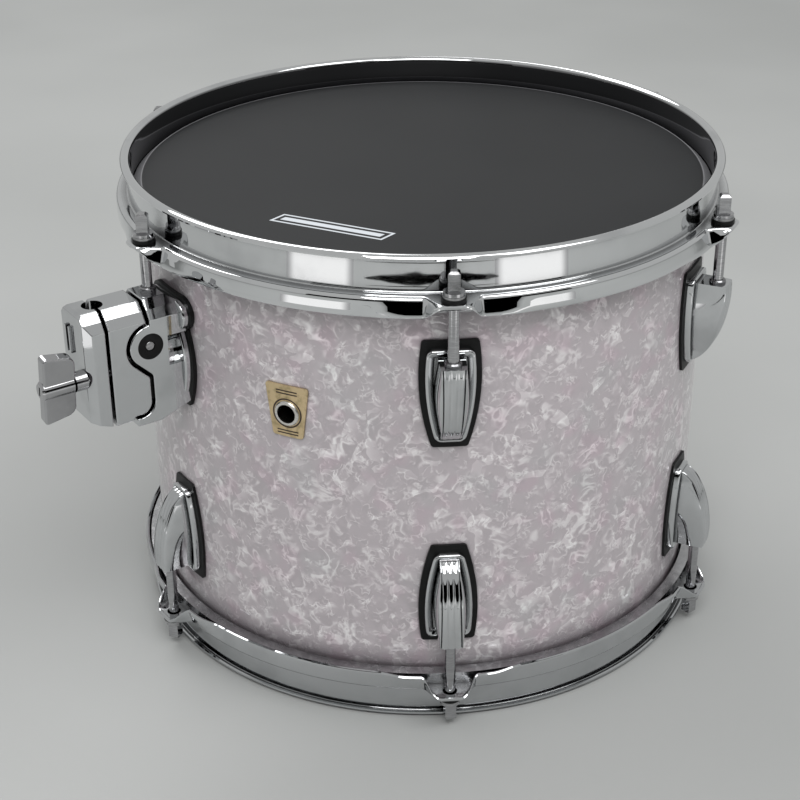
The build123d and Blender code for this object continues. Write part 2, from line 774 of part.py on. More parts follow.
film = head_film()
flesh = flesh_hoop()
hoop = counter_hoop()
steel = rod_washer(steel_washer_radius, steel_z, steel_washer_thick)
nylon = rod_washer(nylon_washer_radius, nylon_z, nylon_washer_thick)
for side, resonant in (("batter", False), ("resonant", True)):
    write(f"{side}_film", placed(film, 0, resonant))
    write(f"{side}_flesh_hoop", placed(flesh, 0, resonant))
    write(f"{side}_hoop", placed(hoop, 0, resonant))
    write(f"{side}_steel_washers", *[placed(steel, angle, resonant) for angle in rod_angles])
    write(f"{side}_nylon_washers", *[placed(nylon, angle, resonant) for angle in rod_angles])
    for step, angle in enumerate(rod_angles):
        at_bracket = angle == bracket_angle and not resonant
        rod = tension_rod(mount_rod_length if at_bracket else rod_length, rod_head_facing - angle)
        write(f"{side}_rod_{step + 1}", placed(rod, angle, resonant))

casing = lug_casing()
for name, angle, resonant in both_places():
    write(f"lug_{name}", placed(casing, angle, resonant))

gasket = lug_gasket()
nut = swivel_nut(tongue_end_z, nut_length, nut_collar_height)
for side in ("upper", "lower"):
    spots = [(angle, resonant) for name, angle, resonant in both_places() if name.startswith(side)]
    write(f"lug_gaskets_{side}", *[placed(gasket, angle, resonant) for angle, resonant in spots])
    write(f"swivel_nuts_{side}", *[placed(nut, angle, resonant) for angle, resonant in spots])

screws = []
flats = []
for _, angle, resonant in both_places():
    for z in lug_screw_heights:
        screws.append(placed(inside_screw(lug_screw_radius, z, lug_screw_tip), angle, resonant))
        flats.append(placed(inside_washer(lug_screw_radius, z), angle, resonant))
write("lug_screws", *screws)
write("lug_screw_washers", *flats)

write("badge_plate", around(badge_plate(), badge_angle))
write("badge_eyelet", around(eyelet(), badge_angle))

bracket = {
    "mount_base": [mount_base()],
    "mount_gasket": [bracket_gasket()],
    "mount_screws": [inside_screw(mount_screw_radius, z, mount_screw_tip) for z in mount_screw_heights],
    "mount_screw_washers": [inside_washer(mount_screw_radius, z) for z in mount_screw_heights],
    "mount_rod_nut": [swivel_nut(bracket_top_z, mount_nut_length, mount_nut_rise)],
    "pivot_bushings": pivot_bushings(),
    "pivot_pin": [pivot_pin()],
    "isolator_pad": [isolator_pad()],
    "clamp_body": [clamp_body()],
    "clamp_jaw": [clamp_jaw()],
    "wing_screw": [wing_screw()],
}
for node, shapes in bracket.items():
    write(node, *[around(shape, bracket_angle) for shape in shapes])
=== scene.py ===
"""Looks of a twelve by nine inch rack tom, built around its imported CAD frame.

Objects are in metres, in the part's own frame: the origin is on the drum's axis in the
plane of the bottom rim, +Z is up and the holder bracket points along -X. Sizes of the
pieces made here are written in millimetres and scaled by MM.
"""

import logging
import math
from dataclasses import dataclass
from enum import Enum
from typing import Iterable, Mapping, Sequence, Union

import bmesh
import bpy
import numpy as np
from mathutils import Matrix, Vector


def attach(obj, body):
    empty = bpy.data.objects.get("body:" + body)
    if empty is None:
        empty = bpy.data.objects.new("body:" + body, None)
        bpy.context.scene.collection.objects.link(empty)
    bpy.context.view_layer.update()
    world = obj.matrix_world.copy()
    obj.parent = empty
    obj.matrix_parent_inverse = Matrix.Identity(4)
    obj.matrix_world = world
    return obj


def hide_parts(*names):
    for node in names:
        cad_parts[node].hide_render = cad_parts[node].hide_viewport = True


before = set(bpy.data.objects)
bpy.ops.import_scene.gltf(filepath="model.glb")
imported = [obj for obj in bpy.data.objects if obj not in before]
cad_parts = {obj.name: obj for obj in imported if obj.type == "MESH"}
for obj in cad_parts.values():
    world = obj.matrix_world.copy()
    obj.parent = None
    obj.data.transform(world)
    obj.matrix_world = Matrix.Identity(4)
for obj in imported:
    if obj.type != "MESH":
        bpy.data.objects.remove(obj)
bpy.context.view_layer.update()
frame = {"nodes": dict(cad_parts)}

LOG = logging.getLogger("tom")
MM = 0.001

Span = tuple[float, float]
Triple = tuple[float, float, float]
Colour = Triple
Piece = bpy.types.Object
Number = Union[float, int, "Wire"]


class Wire:
    """One output socket of a node, with arithmetic that adds Math nodes."""

    def __init__(self, graph: "Graph", socket: bpy.types.NodeSocket) -> None:
        """Keep the graph that the socket is in."""
        self.graph = graph
        self.socket = socket

    def _math(self, operation: str, first: Number, second: Number = 0.0) -> "Wire":
        """A Math node on two values."""
        return self.graph.node("ShaderNodeMath", {"operation": operation}, {0: first, 1: second})

    def __add__(self, other: Number) -> "Wire":
        """This value plus another."""
        return self._math("ADD", self, other)

    __radd__ = __add__

    def __sub__(self, other: Number) -> "Wire":
        """This value less another."""
        return self._math("SUBTRACT", self, other)

    def __rsub__(self, other: Number) -> "Wire":
        """Another value less this one."""
        return self._math("SUBTRACT", other, self)

    def __mul__(self, other: Number) -> "Wire":
        """This value times another."""
        return self._math("MULTIPLY", self, other)

    __rmul__ = __mul__

    def __pow__(self, other: Number) -> "Wire":
        """This value to a power."""
        return self._math("POWER", self, other)

    def __abs__(self) -> "Wire":
        """This value without its sign."""
        return self._math("ABSOLUTE", self)

    def sine(self) -> "Wire":
        """The sine of this value."""
        return self._math("SINE", self)

    def most(self, other: Number) -> "Wire":
        """The larger of two values."""
        return self._math("MAXIMUM", self, other)

    def rise(self, low: float, high: float) -> "Wire":
        """A smooth step from 0 at one value to 1 at another.

        Args:
            low: value at which the step leaves 0.
            high: value at which it reaches 1; below low, the step falls.

        Returns:
            The step, between 0 and 1.
        """
        if low > high:
            return 1.0 - self.rise(high, low)
        return self.graph.node(
            "ShaderNodeMapRange", {"interpolation_type": "SMOOTHSTEP"},
            {"Value": self, "From Min": low, "From Max": high})

    def other(self, output: str) -> "Wire":
        """Another output of the same node."""
        return Wire(self.graph, self.socket.node.outputs[output])


class Graph:
    """A node tree, and the methods that add nodes to it."""

    def __init__(self, tree: bpy.types.NodeTree) -> None:
        """Start from an empty tree."""
        self.tree = tree
        tree.nodes.clear()

    def node(
        self, kind: str, settings: Mapping[str, object] | None = None,
        sockets: Mapping[int | str, object] | None = None, output: int | str = 0,
    ) -> Wire:
        """Add one node.

        Args:
            kind: the node's type.
            settings: the node's own properties, set first; "stops" are a ramp's colours.
            sockets: values or wires of its inputs, by name or number.
            output: the output to hand on, by name or number.

        Returns:
            The chosen output.
        """
        made = self.tree.nodes.new(kind)
        for key, value in (settings or {}).items():
            if key == "stops":
                self._set_stops(made.color_ramp, value)
            else:
                setattr(made, key, value)
        for key, value in (sockets or {}).items():
            if isinstance(value, Wire):
                self.tree.links.new(value.socket, made.inputs[key])
            else:
                made.inputs[key].default_value = value
        return Wire(self, made.outputs[output]) if made.outputs else None

    @staticmethod
    def _set_stops(ramp: bpy.types.ColorRamp, stops: Sequence[tuple[float, Colour]]) -> None:
        """Give a ramp its stops, in order."""
        while len(ramp.elements) < len(stops):
            ramp.elements.new(1.0)
        for element, (position, colour) in zip(ramp.elements, stops):
            element.position = position
            element.color = (*colour, 1.0)

    def place(self) -> Wire:
        """The point on the object, in metres, in the object's own frame."""
        return self.node("ShaderNodeTexCoord", output="Object")

    def split(self, vector: Wire) -> tuple[Wire, Wire, Wire]:
        """The three numbers of a vector."""
        x = self.node("ShaderNodeSeparateXYZ", None, {0: vector}, "X")
        return x, x.other("Y"), x.other("Z")

    def join(self, x: Number, y: Number, z: Number) -> Wire:
        """A vector from three numbers."""
        return self.node("ShaderNodeCombineXYZ", None, {"X": x, "Y": y, "Z": z})

    def vector(self, operation: str, *values: object, output: int | str = 0) -> Wire:
        """A Vector Math node on vectors."""
        return self.node(
            "ShaderNodeVectorMath", {"operation": operation}, dict(enumerate(values)), output)

    def radius(self, x: Wire, y: Wire) -> Wire:
        """Distance from the Z axis."""
        return (x * x + y * y) ** 0.5

    def bearing(self, x: Wire, y: Wire) -> Wire:
        """Angle round the Z axis, in radians."""
        return self.node("ShaderNodeMath", {"operation": "ARCTAN2"}, {0: y, 1: x})

    def openness(self, reach: float) -> Wire:
        """How open the surface is within a distance: 0 in a crevice and 1 in the open."""
        return self.node(
            "ShaderNodeAmbientOcclusion", {"samples": 6}, {"Distance": reach}, "AO")

    def noise(self, at: Wire, scale: float, detail: float = 2.0, distortion: float = 0.0) -> Wire:
        """Smooth noise about 0.5, by features per metre."""
        return self.node(
            "ShaderNodeTexNoise", None,
            {"Vector": at, "Scale": scale, "Detail": detail, "Distortion": distortion}, "Fac")

    def cells(self, at: Wire, scale: float) -> Wire:
        """Random cells, by cells per metre; the output is the distance."""
        return self.node("ShaderNodeTexVoronoi", None, {"Vector": at, "Scale": scale}, "Distance")

    def blend(self, share: Number, first: object, second: object, way: str = "MIX") -> Wire:
        """Mix two colours.

        Args:
            share: how much of the second colour shows.
            first: a wire or a colour.
            second: a wire or a colour.
            way: the Mix node's blend type.

        Returns:
            The mixed colour.
        """
        pair = [value if isinstance(value, Wire) else (*value, 1.0) for value in (first, second)]
        return self.node(
            "ShaderNodeMix", {"data_type": "RGBA", "blend_type": way},
            {0: share, 6: pair[0], 7: pair[1]}, 2)

    def ramp(self, value: Number, *stops: tuple[float, Colour]) -> Wire:
        """A colour ramp over a value."""
        return self.node("ShaderNodeValToRGB", {"stops": stops}, {"Fac": value})

    def bump(self, height: Wire, distance: float, strength: float = 1.0) -> Wire:
        """A surface normal from a height between 0 and 1, and the metres that 1 stands for."""
        return self.node(
            "ShaderNodeBump", None, {"Height": height, "Distance": distance, "Strength": strength})

    def surface(self, sockets: Mapping[int | str, object]) -> None:
        """Finish the material with one Principled shader."""
        shader = self.node("ShaderNodeBsdfPrincipled", None, sockets)
        self.node("ShaderNodeOutputMaterial", None, {"Surface": shader})


@dataclass(frozen=True)
class Finish:
    """A surface finish, which becomes one material."""

    name: str

    def material(self) -> bpy.types.Material:
        """The finish's material, made the first time it is asked for."""
        key = f"finish_{self.name}"
        found = bpy.data.materials.get(key)
        if found is None:
            found = bpy.data.materials.new(key)
            found.use_nodes = True
            self.paint(Graph(found.node_tree))
        return found

    def paint(self, graph: Graph) -> None:
        """Add the finish's nodes to its graph."""
        raise NotImplementedError

    def on(self, *pieces: Piece) -> None:
        """Give pieces this finish and no other."""
        for piece in pieces:
            piece.data.materials.clear()
            piece.data.materials.append(self.material())
            LOG.info("%s takes %s", piece.name, self.name)


@dataclass(frozen=True)
class Plate(Finish):
    """Polished bright plate with faint haze and wipe marks, with painted shade in its hollows and
    in the well.
    """

    tint: Colour = (0.72, 0.73, 0.74)
    shade: Colour = (0.57, 0.58, 0.59)
    # Colour of the painted shade in hollows and crevices.
    painted_crevice_shade: Colour = (0.03, 0.03, 0.032)
    roughness: float = 0.02
    haze: float = 0.03
    ripple: float = 0.00002
    hollow: float = 9.0 * MM
    shadow: Span = (0.30, 0.85)
    # Painted shade: inside the first of these radii the colour turns dark, darkening the hoop's
    # inner wall.
    well: Span = (0.0, 0.1 * MM)
    painted_well_shade: Colour = (0.17, 0.17, 0.175)
    cloud_scale: float = 42.0
    dull_range: Span = (0.46, 0.78)
    dull_share: float = 0.7
    wipe_stretch: Triple = (1.0, 1.0, 7.0)
    wipe_scale: float = 160.0
    wipe_range: Span = (0.5, 0.8)
    wipe_haze: float = 0.02
    ripple_scale: float = 75.0

    def paint(self, graph: Graph) -> None:
        """Clouded tint and gloss over a faint ripple, with painted shade in hollows and inside the
        well.
        """
        at = graph.place()
        dull = graph.noise(at, self.cloud_scale, 4.0).rise(*self.dull_range)
        wipe = graph.noise(graph.vector("MULTIPLY", at, self.wipe_stretch), self.wipe_scale, 3.0)
        x, y, _ = graph.split(at)
        outside = graph.radius(x, y).rise(*self.well)
        clean = graph.blend(dull * self.dull_share, self.tint, self.shade)
        # Painted shade on the inner wall of the hoop.
        clean = graph.blend(outside, self.painted_well_shade, clean)
        # Painted shade: the colour darkens in hollows and crevices, found by ambient occlusion.
        bare = graph.openness(self.hollow).rise(*self.shadow)
        marks = self.haze * dull + self.wipe_haze * wipe.rise(*self.wipe_range)
        graph.surface({
            "Base Color": graph.blend(bare, self.painted_crevice_shade, clean),
            "Metallic": 1.0,
            "Roughness": self.roughness + marks,
            "Normal": graph.bump(graph.noise(at, self.ripple_scale, 1.0), self.ripple),
        })


@dataclass(frozen=True)
class Steel(Finish):
    """Plain plated steel with fine turning marks."""

    tint: Colour = (0.50, 0.50, 0.50)
    shade: Colour = (0.33, 0.33, 0.34)
    roughness: float = 0.24
    streak_stretch: Triple = (0.5, 0.5, 6.0)
    streak_scale: float = 420.0
    streak_range: Span = (0.3, 0.7)
    streak_depth: float = 0.00001
    soil_scale: float = 110.0
    soil_range: Span = (0.4, 0.75)
    soil_haze: float = 0.14

    def paint(self, graph: Graph) -> None:
        """Streaked grey metal, soiled here and there."""
        at = graph.place()
        stretched = graph.vector("MULTIPLY", at, self.streak_stretch)
        streak = graph.noise(stretched, self.streak_scale, 3.0)
        soil = graph.noise(at, self.soil_scale, 3.0).rise(*self.soil_range)
        graph.surface({
            "Base Color": graph.blend(streak.rise(*self.streak_range), self.shade, self.tint),
            "Metallic": 1.0,
            "Roughness": self.roughness + self.soil_haze * soil,
            "Normal": graph.bump(streak, self.streak_depth),
        })


@dataclass(frozen=True)
class Pearl(Finish):
    """White pearl sheet: drifts of nacre with curled bright strokes under a clear glossy face."""

    deep: Colour = (0.47, 0.430, 0.452)
    body: Colour = (0.535, 0.487, 0.512)
    light: Colour = (0.70, 0.655, 0.675)
    spark: Colour = (0.95, 0.92, 0.93)
    blush: Colour = (1.02, 0.95, 0.985)
    cool: Colour = (0.97, 1.00, 0.99)
    shaded: Colour = (0.32, 0.31, 0.32)
    shade_reach: float = 14.0 * MM
    shade_range: Span = (0.45, 0.92)
    drift_scale: float = 55.0
    drift_reach: float = 26.0 * MM
    plate_scale: float = 120.0
    bold: Span = (95.0, 0.075)
    fine: Span = (210.0, 0.085)
    fine_share: float = 0.85
    stroke_middle: float = 0.53
    rest_tone: float = 0.18
    plate_tone: float = 0.36
    lit_tone: float = 0.56
    dark_tone: float = 0.20
    tone_stops: tuple[float, float, float, float] = (0.08, 0.30, 0.58, 1.0)
    rosy_scale: float = 60.0
    chilly_scale: float = 36.0
    relief: float = 0.6 * MM
    relief_share: float = 0.35

    def _plates(self, graph: Graph, at: Wire, scale: float) -> Wire:
        """Cells that each shade from one side to the other.

        Args:
            graph: the material's graph.
            at: the bent point to read the cells at.
            scale: cells per metre.

        Returns:
            The plates' shading, between 0 and 1, on some of the plates.
        """
        cell = graph.cells(at, scale)
        way = graph.vector("MULTIPLY_ADD", cell.other("Color"), (2.0, 2.0, 2.0), (-1.0, -1.0, -1.0))
        inside = graph.vector("SUBTRACT", at, cell.other("Position"))
        slope = graph.vector("DOT_PRODUCT", inside, way, output="Value")
        chance = graph.node("ShaderNodeSeparateColor", None, {0: cell.other("Color")}, "Green")
        return chance.rise(0.35, 0.65) * (slope * (0.9 * scale) + 0.5).rise(0.2, 1.0)

    def _strokes(self, graph: Graph, at: Wire, scale: float, width: float) -> tuple[Wire, Wire]:
        """Curled strokes in clusters, each with a dark side.

        Args:
            graph: the material's graph.
            at: the point to read the strokes at.
            scale: strokes per metre.
            width: how broad the strokes are, as a share of the noise's range.

        Returns:
            The bright sides and the dark sides, between 0 and 1.
        """
        field = graph.noise(at, scale, 2.0, 0.6) - self.stroke_middle
        moved = graph.vector("ADD", at, (0.31, 0.17, 0.23))
        here = graph.noise(moved, 0.8 * scale, 2.0).rise(0.43, 0.64)
        bright = abs(field).rise(width, 0.0) * here
        dark = abs(field + 1.5 * width).rise(0.8 * width, 0.1 * width) * here
        return bright, dark

    def paint(self, graph: Graph) -> None:
        """Soft plates bent by noise, two sizes of strokes, faint rosy and cool clouds, and painted
        shade near what stands on the sheet.
        """
        at = graph.place()
        drift = graph.noise(at, self.drift_scale).other("Color")
        bent = graph.vector("MULTIPLY_ADD", drift, (self.drift_reach,) * 3, at)
        plates = self._plates(graph, bent, self.plate_scale)
        bold, bold_dark = self._strokes(graph, at, *self.bold)
        fine, fine_dark = self._strokes(graph, at, *self.fine)
        lit = bold.most(fine * self.fine_share)
        tone = self.rest_tone + self.plate_tone * plates + self.lit_tone * lit
        tone = tone - self.dark_tone * bold_dark.most(fine_dark)
        shades = (self.deep, self.body, self.light, self.spark)
        colour = graph.ramp(tone, *zip(self.tone_stops, shades))
        rosy = graph.noise(at, self.rosy_scale, 1.0).rise(0.50, 0.68)
        moved = graph.vector("ADD", at, (0.4, 0.2, 0.1))
        chilly = graph.noise(moved, self.chilly_scale, 1.0).rise(0.54, 0.70)
        # Painted shade: the colour darkens near what stands on the sheet, found by ambient
        # occlusion.
        painted_shade_share = 1.0 - graph.openness(self.shade_reach).rise(*self.shade_range)
        for share, cast in ((rosy, self.blush), (chilly, self.cool), (painted_shade_share, self.shaded)):
            colour = graph.blend(share, colour, cast, "MULTIPLY")
        graph.surface({
            "Base Color": colour,
            "Metallic": 0.10 + 0.20 * lit,
            "Roughness": 0.42 - 0.12 * lit,
            "Normal": graph.bump(plates * 0.4 + lit * 0.6, self.relief, self.relief_share),
            "Coat Weight": 0.85,
            "Coat Roughness": 0.035,
        })


@dataclass(frozen=True)
class BlackFilm(Finish):
    """Black two-ply head: satin face, a dark ring near its edge and a painted pale highlight where
    it ends.
    """

    face: Colour = (0.0195, 0.0203, 0.0215)
    worn: Colour = (0.0230, 0.0238, 0.0250)
    edge: Colour = (0.012, 0.012, 0.013)
    # Colour of the painted highlight at the film's edge.
    painted_edge_highlight: Colour = (0.22, 0.22, 0.23)
    ink: Colour = (0.60, 0.63, 0.67)
    edge_start: float = 146.0 * MM
    edge_end: float = 148.3 * MM
    painted_highlight_start: float = 147.6 * MM
    label_at: Span = (-0.0868, -0.0477)
    label_turn: float = -59.6
    label_half: Span = (0.0307, 0.0054)
    label_line: float = 0.0013
    label_slant: float = 0.25
    label_soft: float = 0.2 * MM
    bar_inset: float = 2.6
    cloud_scale: float = 14.0
    grain_scale: float = 2400.0
    grain_depth: float = 0.02 * MM

    def _label(self, x: Wire, y: Wire) -> Wire:
        """Where the ink is: a blank slanted frame with one bar in it.

        Args:
            x: distance along the part's X.
            y: distance along the part's Y.

        Returns:
            1 on the ink and 0 off it.
        """
        turn = math.radians(self.label_turn)
        ahead, aside = x - self.label_at[0], y - self.label_at[1]
        across = aside * math.cos(turn) - ahead * math.sin(turn)
        along = ahead * math.cos(turn) + aside * math.sin(turn) - across * self.label_slant

        def box(inset: float) -> Wire:
            """1 inside the frame's outline drawn in by this much."""
            inside = 1.0
            for way, half in zip((along, across), self.label_half):
                inside = inside * abs(way).rise(half - inset, half - inset - self.label_soft)
            return inside

        return box(0.0) - box(self.label_line) + box(self.bar_inset * self.label_line)

    def paint(self, graph: Graph) -> None:
        """Faint clouds of handling, a blank label, a dark ring at the edge and a painted pale
        highlight where the film ends.
        """
        at = graph.place()
        x, y, _ = graph.split(at)
        radius = graph.radius(x, y)
        cloud = graph.noise(at, self.cloud_scale, 4.0)
        colour = graph.blend(cloud.rise(0.35, 0.7), self.face, self.worn)
        colour = graph.blend(self._label(x, y), colour, self.ink)
        ring = radius.rise(self.edge_start, self.edge_end)
        colour = graph.blend(ring, colour, self.edge)
        # Painted highlight: a pale band where the film ends.
        painted_edge_highlight = radius.rise(self.painted_highlight_start, self.edge_end)
        graph.surface({
            "Base Color": graph.blend(painted_edge_highlight, colour, self.painted_edge_highlight),
            "Roughness": 0.50 + 0.10 * cloud - 0.15 * ring,
            "Normal": graph.bump(graph.noise(at, self.grain_scale), self.grain_depth),
            "Specular IOR Level": 0.15,
        })


@dataclass(frozen=True)
class ClearFilm(Finish):
    """Clear film with a faint haze of handling."""

    tint: Colour = (0.93, 0.94, 0.95)
    haze: Colour = (0.80, 0.81, 0.83)

    def paint(self, graph: Graph) -> None:
        """A thin clear sheet, a little cloudy."""
        at = graph.place()
        cloud = graph.noise(at, 20.0, 4.0).rise(0.4, 0.75)
        graph.surface({
            "Base Color": graph.blend(cloud, self.tint, self.haze),
            "Roughness": 0.06 + 0.14 * cloud,
            "Normal": graph.bump(graph.noise(at, 300.0, 2.0), 0.00002),
            "Transmission Weight": 0.92,
            "IOR": 1.35,
        })


@dataclass(frozen=True)
class Moulded(Finish):
    """Black rubber or nylon with a fine moulded grain."""

    tint: Colour = (0.003, 0.003, 0.003)
    dust: Colour = (0.009, 0.009, 0.010)
    roughness: float = 0.42
    grain: float = 1500.0
    depth: float = 0.00006

    def paint(self, graph: Graph) -> None:
        """Dusty black with grain."""
        at = graph.place()
        cloud = graph.noise(at, 120.0, 4.0)
        skin = graph.noise(at, self.grain, 2.0)
        graph.surface({
            "Base Color": graph.blend(cloud.rise(0.45, 0.8), self.tint, self.dust),
            "Roughness": self.roughness + 0.2 * (cloud - 0.5),
            "Normal": graph.bump(skin, self.depth),
            "Specular IOR Level": 0.25,
        })


@dataclass(frozen=True)
class Brass(Finish):
    """Aged brass, browner in its clouds, with plain lines cut in it and filled dark."""

    tint: Colour = (0.70, 0.55, 0.33)
    aged: Colour = (0.42, 0.33, 0.18)
    fill: Colour = (0.030, 0.014, 0.010)
    bearing: float = 209.8
    level: float = 166.5 * MM
    groove: Span = (7.1 * MM, 7.9 * MM)
    lines: tuple[float, ...] = (11.9 * MM, 10.4 * MM, -9.6 * MM, -11.1 * MM)
    line_reach: float = 5.8 * MM
    line_half: float = 0.35 * MM
    soft: float = 0.15 * MM

    def _cuts(self, graph: Graph, at: Wire) -> Wire:
        """Where the metal is cut: a ring round the vent and lines above and below it.

        Args:
            graph: the material's graph.
            at: the point on the badge.

        Returns:
            1 in a cut and 0 elsewhere.
        """
        x, y, z = graph.split(at)
        turn = math.radians(self.bearing)
        aside = y * math.cos(turn) - x * math.sin(turn)
        rise = z - self.level
        out = graph.radius(aside, rise)
        soft = self.soft
        inner, outer = self.groove
        cuts = out.rise(inner - soft, inner + soft) * out.rise(outer + soft, outer - soft)
        reach = abs(aside).rise(self.line_reach, self.line_reach - soft)
        for line in self.lines:
            near = abs(rise - line).rise(self.line_half + soft, self.line_half - soft)
            cuts = cuts + reach * near
        return cuts

    def paint(self, graph: Graph) -> None:
        """Patchy patina over brushed metal, and the cuts."""
        at = graph.place()
        cloud = graph.noise(at, 260.0, 4.0)
        brush = graph.noise(graph.vector("MULTIPLY", at, (1.0, 1.0, 14.0)), 500.0, 2.0)
        cuts = self._cuts(graph, at)
        metal = graph.blend(cloud.rise(0.42, 0.72), self.tint, self.aged)
        graph.surface({
            "Base Color": graph.blend(cuts, metal, self.fill),
            "Metallic": 0.75 - 0.7 * cuts,
            "Roughness": 0.30 + 0.2 * cloud,
            "Normal": graph.bump(brush * 0.2 + (1.0 - cuts), 0.00015),
        })


@dataclass(frozen=True)
class Maple(Finish):
    """Bare maple ply: long grain round the shell and its plies at the edges."""

    pale: Colour = (0.60, 0.43, 0.26)
    dark: Colour = (0.42, 0.27, 0.14)
    ply: float = 1.0 * MM

    def paint(self, graph: Graph) -> None:
        """Grain that runs round the drum, with ply lines by radius."""
        x, y, z = graph.split(graph.place())
        radius = graph.radius(x, y)
        turn = graph.bearing(x, y)
        grain = graph.noise(graph.join(turn * 1.2, z * 90.0, radius * 60.0), 3.0, 5.0, 0.6)
        pores = graph.noise(graph.join(turn * 8.0, z * 700.0, radius * 300.0), 3.0, 2.0)
        plies = (radius * (math.pi / self.ply)).sine()
        tone = (grain.rise(0.3, 0.7) * 0.7 + pores.rise(0.5, 0.7) * 0.3) * (0.75 + 0.25 * plies)
        graph.surface({
            "Base Color": graph.blend(tone, self.pale, self.dark),
            "Roughness": 0.48 + 0.12 * pores,
            "Normal": graph.bump(pores, 0.0001),
        })


@dataclass(frozen=True)
class Paper(Finish):
    """Plain pale studio floor with a faint cloudiness."""

    tint: Colour = (0.445, 0.452, 0.447)
    shade: Colour = (0.405, 0.412, 0.407)

    def paint(self, graph: Graph) -> None:
        """Very soft clouds on matt grey."""
        at = graph.place()
        cloud = graph.noise(at, 2.2, 3.0)
        graph.surface({
            "Base Color": graph.blend(cloud.rise(0.3, 0.7), self.tint, self.shade),
            "Roughness": 0.55 + 0.1 * cloud,
            "Normal": graph.bump(graph.noise(at, 900.0, 2.0), 0.00005),
            "Specular IOR Level": 0.0,
        })


HOOP_CHROME = Plate("hoop_chrome", well=(153.4 * MM, 154.0 * MM))
# A darker, duller copy of the hoop chrome for the bottom hoop: painted shade for the shaded floor
# near the drum that its skirt reflects.
SHADED_LOW_CHROME = Plate(
    "shaded_low_chrome", tint=(0.55, 0.56, 0.57), shade=(0.43, 0.44, 0.45), painted_crevice_shade=(0.10, 0.10, 0.102),
    hollow=6.0 * MM)
CAST_CHROME = Plate(
    "cast_chrome", tint=(0.62, 0.63, 0.64), shade=(0.48, 0.49, 0.50), roughness=0.035, haze=0.05,
    ripple=0.00003, hollow=5.0 * MM, shadow=(0.22, 0.75))
# A darker copy of the cast chrome for the wing screw: painted shade for the dark surroundings its
# faces reflect.
SHADED_WING_CHROME = Plate(
    "shaded_wing_chrome", tint=(0.48, 0.48, 0.49), shade=(0.30, 0.30, 0.31), roughness=0.06, haze=0.08,
    ripple=0.00006, hollow=5.0 * MM, shadow=(0.22, 0.75))
ROD_STEEL = Steel(
    "rod_steel", tint=(0.50, 0.50, 0.51), shade=(0.36, 0.36, 0.37), roughness=0.05)
NUT_STEEL = Steel(
    "nut_steel", tint=(0.38, 0.38, 0.39), shade=(0.22, 0.22, 0.23), roughness=0.16)
EYELET_NICKEL = Steel(
    "eyelet_nickel", tint=(0.80, 0.78, 0.75), shade=(0.62, 0.60, 0.57), roughness=0.20)
SCREW_STEEL = Steel("screw_steel", roughness=0.28)
FLESH_METAL = Steel(
    "flesh_metal", tint=(0.52, 0.52, 0.53), shade=(0.40, 0.40, 0.41), roughness=0.18)
PEARL = Pearl("pearl_sheet")
BLACK_FILM = BlackFilm("black_film")
CLEAR_FILM = ClearFilm("clear_film")
RUBBER = Moulded("rubber")
NYLON = Moulded("nylon", roughness=0.30, grain=2200.0, depth=0.00003)
BRASS = Brass("aged_brass")
MAPLE = Maple("maple_ply")
PAPER = Paper("studio_paper")


class Side(Enum):
    """The two ends of the drum."""

    BATTER = "batter"
    RESONANT = "resonant"


def node(name: str) -> Piece:
    """A CAD node's object, by name."""
    return frame["nodes"][name]


def nodes(*starts: str) -> list[Piece]:
    """CAD nodes whose names start with any of these words."""
    return [piece for name, piece in sorted(frame["nodes"].items()) if name.startswith(starts)]


def add_object(name: str, data: bpy.types.ID) -> Piece:
    """A new object in the scene."""
    made = bpy.data.objects.new(name, data)
    bpy.context.scene.collection.objects.link(made)
    return made


def smooth(mesh: bpy.types.Mesh, sharp: float) -> None:
    """Shade a mesh smooth, but for edges that turn more than this many degrees."""
    mesh.shade_smooth()
    mesh.set_sharp_from_angle(angle=math.radians(sharp))


def loft(rings: int, count: int, closed: bool = False) -> list[tuple[int, int, int, int]]:
    """Faces between rings of corners that follow each other.

    Args:
        rings: how many rings there are.
        count: corners in each ring.
        closed: whether the last ring joins the first.

    Returns:
        Corner numbers of each face.
    """
    faces = []
    for ring in range(rings if closed else rings - 1):
        here, there = ring * count, (ring + 1) % rings * count
        for corner in range(count):
            after = (corner + 1) % count
            faces.append((here + corner, here + after, there + after, there + corner))
    return faces


def mesh_piece(
    name: str, points: Iterable, faces: Iterable, sharp: float = 40.0,
) -> Piece:
    """A new smooth-shaded mesh object.

    Args:
        name: the piece's name.
        points: corners in millimetres.
        faces: corner numbers of each face.
        sharp: edges that turn more than this many degrees stay sharp.

    Returns:
        The object, in the scene, with its faces turned outwards.
    """
    mesh = bpy.data.meshes.new(name)
    corners = [tuple(MM * c for c in point) for point in points]
    mesh.from_pydata(corners, [], [tuple(face) for face in faces])
    shape = bmesh.new()
    shape.from_mesh(mesh)
    bmesh.ops.recalc_face_normals(shape, faces=shape.faces)
    shape.to_mesh(mesh)
    shape.free()
    smooth(mesh, sharp)
    return add_object(name, mesh)


def cut_away(piece: Piece, cutter: Piece, sharp: float = 40.0) -> None:
    """Cut one mesh out of another and throw the cutter away."""
    cut = piece.modifiers.new("cut", "BOOLEAN")
    cut.operation = "DIFFERENCE"
    cut.solver = "EXACT"
    cut.object = cutter
    graph = bpy.context.evaluated_depsgraph_get()
    result = bpy.data.meshes.new_from_object(piece.evaluated_get(graph))
    piece.modifiers.clear()
    piece.data = result
    smooth(result, sharp)
    bpy.data.objects.remove(cutter)


